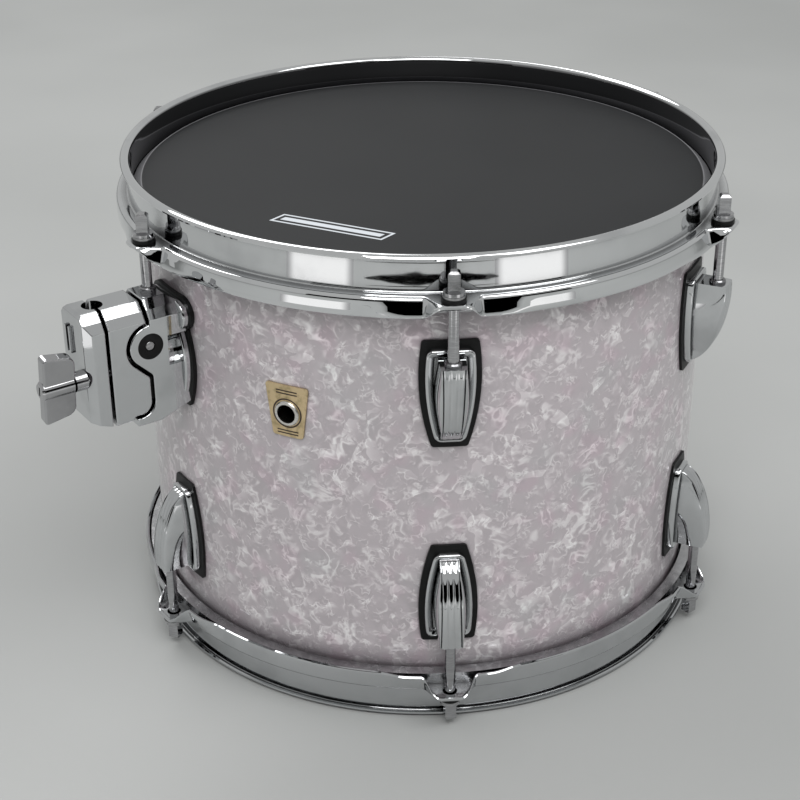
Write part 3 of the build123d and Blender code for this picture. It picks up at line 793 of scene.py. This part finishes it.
def posts(
    name: str, radius: float, ends: Span, out: float, turns: Iterable[float],
) -> Piece:
    """Upright cylinders round the drum that cut holes.

    Args:
        name: the piece's name.
        radius: their radius in millimetres.
        ends: heights of their lower and upper ends.
        out: their distance from the drum's axis.
        turns: their angles round the drum, in radians.

    Returns:
        The cylinders, as one piece.
    """
    segments = 48
    ring = [2 * math.pi * k / segments for k in range(segments)]
    points, faces = [], []
    for turn in turns:
        x, y, start = out * math.cos(turn), out * math.sin(turn), len(points)
        points += [
            (x + radius * math.cos(t), y + radius * math.sin(t), z) for z in ends for t in ring]
        low = range(start, start + segments)
        high = range(start + segments, start + 2 * segments)
        faces += [(low[k - 1], low[k], high[k], high[k - 1]) for k in range(segments)]
        faces += [tuple(low), tuple(high)]
    return mesh_piece(name, points, faces)


def arc(
    centre: Span, radius: float, start: float, end: float, steps: int,
) -> list[Span]:
    """Points of an arc in the radius and height plane, by degrees, both ends included."""
    turns = np.radians(np.linspace(start, end, steps + 1))
    return [(centre[0] + radius * math.cos(t), centre[1] + radius * math.sin(t)) for t in turns]


def upside_down(height: float) -> Matrix:
    """The turn that swaps the batter and the resonant side of a drum of this height."""
    return Matrix.Translation((0.0, 0.0, height * MM)) @ Matrix.Rotation(math.pi, 4, "X")


def ease(value: np.ndarray | float, low: float, high: float) -> np.ndarray | float:
    """A smooth step between two values, rising or falling."""
    share = np.clip((value - low) / (high - low), 0.0, 1.0)
    return share * share * (3.0 - 2.0 * share)


@dataclass
class Hoop:
    """A counter hoop pressed from one sheet: rolled lip, wall, step, skirt and six ears.

    Radii and heights are of the middle of the sheet, on the batter side.
    """

    side: Side
    rim: float = 256.8
    sheet: float = 2.2
    wall: float = 154.4
    lip_end: float = 157.4
    lip_bend: float = 1.7
    lip_droop: float = 0.7
    cove: float = 2.0
    step: float = 236.8
    skirt: float = 160.7
    skirt_bend: float = 1.5
    skirt_end: float = 228.7
    ear: float = 171.4
    ear_fall: float = 14.0
    ear_edge: float = 0.3
    ear_flat: float = 4.5
    ear_spread: float = 14.5
    mouth: Span = (40.0, 22.0)
    mouth_lean: float = 18.0
    rod_circle: float = 164.75
    rod_hole: float = 3.7
    ears: int = 6
    fine: float = 0.25
    coarse: float = 0.8
    ear_zone: float = 8.0

    def _path(self, aside: float) -> np.ndarray:
        """Middle of the sheet at one angle.

        Args:
            aside: distance round the hoop from the nearest ear's middle.

        Returns:
            Radius and height points from the lip's edge to the skirt's edge.
        """
        flare = float(ease(aside, self.ear_spread, self.ear_flat))
        mouth = float(ease(aside, *self.mouth))
        top = self.rim - self.sheet / 2
        step = self.step
        bend = self.skirt_bend
        reach = self.skirt + (self.ear - self.skirt) * flare
        lean = self.mouth_lean * mouth
        fall = 90.0 - lean - (90.0 - self.ear_fall - lean) * flare
        length = self.ear_edge + (step - bend - self.skirt_end) * (1.0 - flare)
        points = [
            (self.lip_end, top - self.lip_droop),
            (self.lip_end - 0.55, top - self.lip_droop * 0.35)]
        points += arc((self.wall + self.lip_bend, top - self.lip_bend), self.lip_bend, 90, 180, 7)
        heights = np.linspace(top - self.lip_bend, step + self.cove, 8)
        points += [(self.wall, z) for z in heights[1:-1]]
        points += arc((self.wall + self.cove, step + self.cove), self.cove, 180, 270, 8)
        points += [(r, step) for r in np.linspace(self.wall + self.cove, reach - bend, 6)[1:-1]]
        points += arc((reach - bend, step - bend), bend, 90, 90 - fall, 7)
        end = points[-1]
        way = (math.sin(math.radians(90 - fall)), -math.cos(math.radians(90 - fall)))
        points += [
            (end[0] + way[0] * part, end[1] + way[1] * part)
            for part in np.linspace(0, length, 4)[1:]]
        return np.array(points)

    def _section(self, path: np.ndarray) -> np.ndarray:
        """Outline of the sheet about its middle, with round edges."""
        along = np.gradient(path, axis=0)
        along /= np.linalg.norm(along, axis=1, keepdims=True)
        half = self.sheet / 2
        across = np.stack([-along[:, 1], along[:, 0]], axis=1) * half
        caps = np.radians([45.0, 90.0, 135.0])
        tail = [
            path[-1] + across[-1] * math.cos(t) + along[-1] * half * math.sin(t) for t in caps]
        head = [path[0] - across[0] * math.cos(t) - along[0] * half * math.sin(t) for t in caps]
        return np.concatenate([path + across, tail, (path - across)[::-1], head])

    def _turns(self) -> np.ndarray:
        """Angles of the sections in degrees, close together at the ears."""
        pitch = 360.0 / self.ears
        near = np.arange(-self.ear_zone, self.ear_zone, self.fine)
        count = int(round((pitch - 2 * self.ear_zone) / self.coarse))
        between = np.linspace(self.ear_zone, pitch - self.ear_zone, count, endpoint=False)
        one = np.concatenate([near, between])
        return np.concatenate([one + pitch * k for k in range(self.ears)])

    def _points(self) -> tuple[np.ndarray, list]:
        """Corners and faces of the whole sheet, without its rod holes."""
        pitch = 360.0 / self.ears
        rings = []
        for turn in self._turns():
            off = (turn + pitch / 2) % pitch - pitch / 2
            aside = abs(math.radians(off)) * self.rod_circle
            section = self._section(self._path(aside))
            angle = math.radians(turn)
            out, up = section.T
            rings.append(np.stack([out * math.cos(angle), out * math.sin(angle), up], axis=1))
        return np.concatenate(rings), loft(len(rings), len(rings[0]), closed=True)

    def build(self) -> Piece:
        """The hoop in its place, standing for its CAD node."""
        points, faces = self._points()
        piece = mesh_piece(f"{self.side.value}_counter_hoop", points, faces)
        ends = (self.step - 2 * self.sheet, self.step + 2 * self.sheet)
        turns = [2 * math.pi * k / self.ears for k in range(self.ears)]
        cut_away(piece, posts("rod_holes", self.rod_hole, ends, self.rod_circle, turns))
        if self.side is Side.RESONANT:
            piece.data.transform(upside_down(self.rim))
        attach(piece, f"{self.side.value}_hoop")
        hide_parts(f"{self.side.value}_hoop")
        # The bottom hoop takes the painted-shade copy of the chrome.
        (HOOP_CHROME if self.side is Side.BATTER else SHADED_LOW_CHROME).on(piece)
        return piece


@dataclass
class Shell:
    """The wood shell, its pearl wrap and its badge."""

    def dress(self) -> None:
        """Finish the shell's CAD pieces."""
        MAPLE.on(node("shell"))
        PEARL.on(node("wrap"))
        BRASS.on(node("badge_plate"))
        EYELET_NICKEL.on(node("badge_eyelet"))


@dataclass
class Head:
    """A head: its film and the flesh hoop that grips it."""

    side: Side

    def dress(self) -> None:
        """Finish the head's CAD pieces."""
        film = BLACK_FILM if self.side is Side.BATTER else CLEAR_FILM
        film.on(node(f"{self.side.value}_film"))
        FLESH_METAL.on(node(f"{self.side.value}_flesh_hoop"))


@dataclass
class Tuning:
    """Tension rods, their washers and the nuts that take them, on one side."""

    side: Side

    def dress(self) -> None:
        """Finish the rods and washers."""
        name = self.side.value
        ROD_STEEL.on(*nodes(f"{name}_rod_"))
        SCREW_STEEL.on(node(f"{name}_steel_washers"))
        NYLON.on(node(f"{name}_nylon_washers"))


@dataclass
class LugCasting:
    """A die-cast lug: a framed foot and a tongue whose flanks run smoothly down into the frame.

    Lengths are in millimetres, on the batter side at the angle 0. Halves are of the foot's
    outline before it is drawn in, and ends are heights.
    """

    rod_end: float = 212.4
    tail_end: float = 156.2
    belly_at: float = 192.4
    rod_half: float = 13.4
    belly_half: float = 14.9
    tail_half: float = 8.7
    corner: float = 3.0
    least_corner: float = 0.6
    frame: tuple[Triple, ...] = (
        (2.9, 4.0, 152.95), (2.9, 4.0, 155.30), (3.05, 4.15, 155.75), (3.4, 4.5, 156.05),
        (3.9, 5.0, 156.15), (4.3, 5.4, 156.10), (6.4, 7.5, 154.85), (6.7, 7.8, 154.60),
        (6.9, 8.0, 154.10))
    tongue_top: float = 205.6
    tongue_toe: float = 162.0
    crown: float = 171.55
    toe: float = 155.6
    brow: float = 0.6
    brow_reach: float = 0.23
    bow: Span = (2.4, 0.62)
    crown_half: Span = (6.3, 5.1)
    ridges: int = 3
    ridge_share: float = 0.80
    ridge_depth: float = 0.65
    ridge_edge: float = 0.96
    ridge_round: float = 2.6
    ridge_steps: int = 11
    shoulder: Span = (0.45, 0.2)
    valley: tuple[Span, ...] = ((0.3, 0.05), (0.1, 0.25))
    flank_gap: Span = (1.5, 0.2)
    flank_fade: float = 0.55
    flank_round: float = 0.7
    flank_steps: int = 17
    sink: float = 0.3
    nut_circle: float = 164.75
    nut_bore: Span = (3.8, 187.3)
    outline_steps: int = 60
    stations: int = 56
    toe_crowding: float = 1.6
    sharp: float = 50.0

    def _half(self, z: float, inset: float) -> float:
        """Half the foot's width at a height, drawn in by an inset."""
        high, low = self.rod_end, self.tail_end
        rise = np.array([[1.0, at, at * at] for at in (high, self.belly_at, low)])
        one, slope, curve = np.linalg.solve(rise, [self.rod_half, self.belly_half, self.tail_half])
        return float(one + slope * z + curve * z * z) - inset

    def _loop(self, inset: float, end_inset: float, radius: float) -> list[Triple]:
        """One closed line round the foot, with rounded corners.

        Args:
            inset: how far the sides are drawn in.
            end_inset: how far the ends are drawn in.
            radius: distance from the drum's axis.

        Returns:
            Its points, from the rod end down one side and up the other.
        """
        top, tail = self.rod_end - end_inset, self.tail_end + end_inset
        corner = max(self.corner - (inset - self.frame[0][0]), self.least_corner)
        share = (1.0 - np.cos(np.linspace(0.0, math.pi, self.outline_steps))) / 2
        side = []
        for z in top + (tail - top) * share:
            near = max(corner - min(top - z, z - tail), 0.0)
            drawn = corner - math.sqrt(max(corner ** 2 - near ** 2, 0.0))
            side.append((self._half(z, inset) - drawn, z))
        outline = side + [(-half, z) for half, z in reversed(side)]
        return [(math.sqrt(radius ** 2 - y * y), y, z) for y, z in outline]

    def _foot(self) -> Piece:
        """The frame with its sunk floor, closed at the back."""
        loops = [self._loop(*line) for line in self.frame]
        count = len(loops[0])
        faces = loft(len(loops), count)
        last = (len(loops) - 1) * count
        for i in range(self.outline_steps - 1):
            for start in (0, last):
                end = start + count - 1
                faces.append((start + i, start + i + 1, end - 1 - i, end - i))
        points = [point for loop in loops for point in loop]
        return mesh_piece("lug_foot", points, faces, self.sharp)

    def _rib(self, part: float) -> list[Triple]:
        """One section across the tongue.

        Args:
            part: 0 at the rod end and 1 at the toe.

        Returns:
            Points from one flank's foot over the crown to the other's.
        """
        z = self.tongue_top + (self.tongue_toe - self.tongue_top) * part
        bow = (1.0 - part ** self.bow[0]) ** self.bow[1]
        dip = self.brow * max(0.0, 1.0 - part / self.brow_reach) ** 2
        high = self.toe + (self.crown - self.toe) * bow - dip
        low = self.frame[-1][2] - self.sink
        half = self.crown_half[0] + (self.crown_half[1] - self.crown_half[0]) * part
        ridged = self.ridge_share * half
        depth = self.ridge_depth * min(1.0, 0.25 + bow)
        wide_gap, close_gap = self.flank_gap
        gap = close_gap + (wide_gap - close_gap) * float(ease(part, self.flank_fade, 0.0))
        base = max(self._half(z, self.frame[-3][0]) - gap, half)
        inner, peak = ridged + self.shoulder[0], high - self.shoulder[1]
        side = []
        for turn in np.linspace(0.0, math.pi / 2, self.flank_steps):
            wide = inner + (base - inner) * max(math.cos(turn), 0.0) ** self.flank_round
            side.append((wide, low + (peak - low) * math.sin(turn) ** self.flank_round))
        side += [(ridged + aside, high - depth - drop) for aside, drop in self.valley]
        bumps = []
        pitch = 2 * ridged / self.ridges
        for k in range(self.ridges):
            middle = -ridged + pitch * (k + 0.5)
            for lean in np.linspace(-self.ridge_edge, self.ridge_edge, self.ridge_steps):
                fall = depth * abs(lean) ** self.ridge_round
                bumps.append((-(middle + lean * pitch / 2), high - fall))
        outline = side + bumps + [(-y, r) for y, r in reversed(side)]
        return [(math.sqrt(max(r * r - y * y, 1.0)), y, z) for y, r in outline]

    def _tongue(self) -> Piece:
        """The ridged tongue, square at the rod end, closed all round."""
        parts = 1.0 - (1.0 - np.linspace(0.0, 1.0, self.stations)) ** self.toe_crowding
        ribs = [self._rib(float(part)) for part in parts]
        count = len(ribs[0])
        points = [point for rib in ribs for point in rib]
        faces = loft(len(ribs), count)
        faces += [tuple(range(count)), tuple(range(len(points) - count, len(points)))]
        return mesh_piece("lug_tongue", points, faces, self.sharp)

    def build(self) -> bpy.types.Mesh:
        """The casting's mesh on the batter side at the angle 0."""
        foot, tongue = self._foot(), self._tongue()
        radius, floor = self.nut_bore
        bore = posts("nut_bore", radius, (floor, self.rod_end), self.nut_circle, [0.0])
        cut_away(tongue, bore, self.sharp)
        shape = bmesh.new()
        for piece in (foot, tongue):
            shape.from_mesh(piece.data)
            bpy.data.objects.remove(piece)
        mesh = bpy.data.meshes.new("lug_casting")
        shape.to_mesh(mesh)
        shape.free()
        smooth(mesh, self.sharp)
        return mesh


@dataclass
class Lugs:
    """Lug castings with their gaskets, nuts and inside screws."""

    height: float = 256.8
    upper: tuple[float, ...] = (0.0, 60.0, 120.0, 240.0, 300.0)
    lower: tuple[float, ...] = (0.0, 60.0, 120.0, 180.0, 240.0, 300.0)

    def build(self) -> None:
        """Castings in the places of the CAD ones."""
        casting = LugCasting().build()
        rows = (
            ("upper", self.upper, Matrix()), ("lower", self.lower, upside_down(self.height)))
        for row, turns, stand in rows:
            for number, turn in enumerate(turns, 1):
                mesh = casting.copy()
                mesh.transform(Matrix.Rotation(math.radians(turn), 4, "Z") @ stand)
                piece = add_object(f"casting_{row}_{number}", mesh)
                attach(piece, "drum")
                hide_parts(f"lug_{row}_{number}")
                CAST_CHROME.on(piece)
        bpy.data.meshes.remove(casting)

    def dress(self) -> None:
        """Finish the lugs' CAD pieces."""
        CAST_CHROME.on(*nodes("lug_upper_", "lug_lower_"))
        RUBBER.on(*nodes("lug_gaskets_"))
        NUT_STEEL.on(*nodes("swivel_nuts_"))
        SCREW_STEEL.on(node("lug_screws"), node("lug_screw_washers"))


@dataclass
class Bracket:
    """The holder bracket: base, clamp, jaw, wing screw and their rubber."""

    def dress(self) -> None:
        """Finish the bracket's CAD pieces."""
        CAST_CHROME.on(*(node(name) for name in ("mount_base", "clamp_body", "clamp_jaw")))
        # The wing screw takes the painted-shade copy of the cast chrome.
        SHADED_WING_CHROME.on(node("wing_screw"))
        RUBBER.on(*(node(name) for name in ("mount_gasket", "pivot_bushings", "isolator_pad")))
        NUT_STEEL.on(node("mount_rod_nut"))
        SCREW_STEEL.on(
            *(node(name) for name in ("mount_screws", "mount_screw_washers", "pivot_pin")))


@dataclass(frozen=True)
class Softbox:
    """A soft rectangular lamp."""

    name: str
    at: Triple
    size: Span
    watts: float
    aim: Triple = (0.0, 0.0, 0.13)

    def hang(self) -> None:
        """Put the lamp in the scene, turned to what it lights."""
        lamp = bpy.data.lights.new(self.name, "AREA")
        lamp.shape = "RECTANGLE"
        lamp.size, lamp.size_y = self.size
        lamp.energy = self.watts
        hung = add_object(self.name, lamp)
        hung.location = self.at
        hung.rotation_mode = "QUATERNION"
        hung.rotation_quaternion = (Vector(self.aim) - Vector(self.at)).to_track_quat("-Z", "Y")


@dataclass(frozen=True)
class Tone(Finish):
    """Plain glowing or black face of a reflector card."""

    glow: float = 0.0
    bearings: Span = (0.0, 360.0)
    soft: float = 3.5
    fade: Colour = (0.38, 0.38, 0.38)
    cream: Colour = (0.98, 0.97, 0.95)
    white: Colour = (1.0, 1.0, 1.0)

    def paint(self, graph: Graph) -> None:
        """An even face, clouded a little, that fades out at both of its bearings."""
        at = graph.place()
        x, y, _ = graph.split(at)
        turn = graph.bearing(x, y) * (180.0 / math.pi) + 360.0
        start, end = self.bearings
        shown = turn.rise(start, start + self.soft) * turn.rise(end, end - self.soft)
        cloud = graph.noise(at, 4.0, 1.0)
        bright = graph.blend(cloud, self.cream, self.white)
        graph.surface({
            "Base Color": (0.0, 0.0, 0.0, 1.0),
            "Roughness": 0.9 + 0.1 * cloud,
            "Specular IOR Level": 0.0,
            "Emission Color": graph.blend(shown, self.fade, bright),
            "Emission Strength": self.glow,
        })


WHITE_LEFT = Tone("white_left", glow=1.18, bearings=(189.0, 212.6))
WHITE_RIGHT = Tone("white_right", glow=1.18, bearings=(259.0, 285.0))
BLACK_CARD = Tone("black_card")


def only_in_chrome(card: Piece, face: Tone) -> None:
    """Stage a card so that nothing but a glossy reflection shows it."""
    face.on(card)
    card.visible_camera = False
    card.visible_diffuse = False
    card.visible_transmission = False
    card.visible_shadow = False


@dataclass(frozen=True)
class Card:
    """A reflector card lying on the floor round the drum, seen only in the chrome.

    Bearings are in degrees and radii in metres; a lens narrows to a point at both ends.
    """

    name: str
    bearings: Span
    radii: Span
    face: Tone
    lens: bool = False
    height: float = 1.0 * MM
    steps: int = 24

    def lay(self) -> None:
        """Put the card in the scene."""
        middle = sum(self.radii) / 2
        half = (self.radii[1] - self.radii[0]) / 2
        points = []
        for part in np.linspace(0.0, 1.0, self.steps + 1):
            bearing = math.radians(self.bearings[0] + (self.bearings[1] - self.bearings[0]) * part)
            width = half * math.sin(math.pi * part) ** 0.7 if self.lens else half
            for radius in (middle - width, middle + width):
                x, y = radius * math.cos(bearing), radius * math.sin(bearing)
                points.append((x / MM, y / MM, self.height / MM))
        faces = [(2 * k, 2 * k + 1, 2 * k + 3, 2 * k + 2) for k in range(self.steps)]
        only_in_chrome(mesh_piece(self.name, points, faces), self.face)


@dataclass(frozen=True)
class Horizon:
    """A dark wall behind the camera, seen only in the chrome; bearings are in degrees."""

    bearings: Span = (196.0, 286.0)
    radius: float = 2.3
    low: float = 0.05
    high: float = 0.95
    steps: int = 48

    def stand(self) -> None:
        """Put the wall in the scene."""
        turns = np.radians(np.linspace(*self.bearings, self.steps + 1))
        points = [
            (self.radius * math.cos(turn) / MM, self.radius * math.sin(turn) / MM, z / MM)
            for turn in turns for z in (self.low, self.high)]
        faces = [(k, k + 1, k + 3, k + 2) for k in range(0, 2 * self.steps, 2)]
        only_in_chrome(mesh_piece("horizon", points, faces), BLACK_CARD)


@dataclass
class Studio:
    """Floor, lamps, cards, sky and camera."""

    floor_radius: float = 12.0
    sky: Colour = (0.50, 0.505, 0.50)
    camera_ring: float = 0.8481
    camera_bearing: float = 234.994
    camera_height: float = 0.5473
    camera_heading: float = -34.164
    camera_pitch: float = 27.739
    camera_roll: float = 0.356
    lens: float = 75.39
    sensor: float = 36.0
    lamps: tuple[Softbox, ...] = (
        Softbox("key", (-0.75, -1.05, 1.75), (1.1, 0.8), 18.5),
        Softbox("fill", (0.40, -1.05, 1.85), (1.0, 1.0), 10.0),
        Softbox("back", (0.0, 1.35, 1.7), (1.6, 0.7), 15.0),
    )
    cards: tuple[Card, ...] = (
        Card("white_left", WHITE_LEFT.bearings, (0.61, 0.76), WHITE_LEFT),
        Card("white_right", WHITE_RIGHT.bearings, (0.61, 0.76), WHITE_RIGHT),
        Card("black_lens", (215.8, 260.8), (0.697, 0.723), BLACK_CARD, lens=True, height=2.0 * MM),
    )

    def _floor(self) -> None:
        """A wide round floor at the height of the bottom rim."""
        shape = bmesh.new()
        bmesh.ops.create_circle(shape, cap_ends=True, segments=128, radius=self.floor_radius)
        mesh = bpy.data.meshes.new("studio_floor")
        shape.to_mesh(mesh)
        shape.free()
        floor = add_object("studio_floor", mesh)
        PAPER.on(floor)

    def _sky(self) -> None:
        """Even pale light from all round."""
        world = bpy.data.worlds.new("studio_sky")
        world.use_nodes = True
        graph = Graph(world.node_tree)
        light = graph.node(
            "ShaderNodeBackground", None, {"Color": (*self.sky, 1.0), "Strength": 1.0})
        graph.node("ShaderNodeOutputWorld", None, {"Surface": light})
        bpy.context.scene.world = world

    def _camera(self) -> None:
        """The camera where the photograph was taken from."""
        data = bpy.data.cameras.new("camera")
        data.lens = self.lens
        data.sensor_width = self.sensor
        data.clip_start = 0.01
        data.clip_end = 100.0
        camera = add_object("camera", data)
        bearing = math.radians(self.camera_bearing)
        x, y = self.camera_ring * math.cos(bearing), self.camera_ring * math.sin(bearing)
        stand = Matrix.Translation((x, y, self.camera_height))
        turn = Matrix.Rotation(math.radians(self.camera_heading), 4, "Z")
        tip = Matrix.Rotation(math.radians(90.0 - self.camera_pitch), 4, "X")
        roll = Matrix.Rotation(math.radians(-self.camera_roll), 4, "Z")
        camera.matrix_world = stand @ turn @ tip @ roll
        bpy.context.scene.camera = camera

    def build(self) -> None:
        """Set up the whole studio."""
        self._floor()
        self._sky()
        self._camera()
        for lamp in self.lamps:
            lamp.hang()
        for card in self.cards:
            card.lay()
        Horizon().stand()
        bpy.context.scene.view_settings.view_transform = "Standard"


def main() -> None:
    """Build and dress every sub-assembly, then the studio."""
    logging.basicConfig(level=logging.INFO, format="%(name)s: %(message)s")
    for side in Side:
        LOG.info("built %s", Hoop(side).build().name)
        Head(side).dress()
        Tuning(side).dress()
    Shell().dress()
    lugs = Lugs()
    lugs.build()
    lugs.dress()
    Bracket().dress()
    Studio().build()


if __name__ == "__main__":
    main()
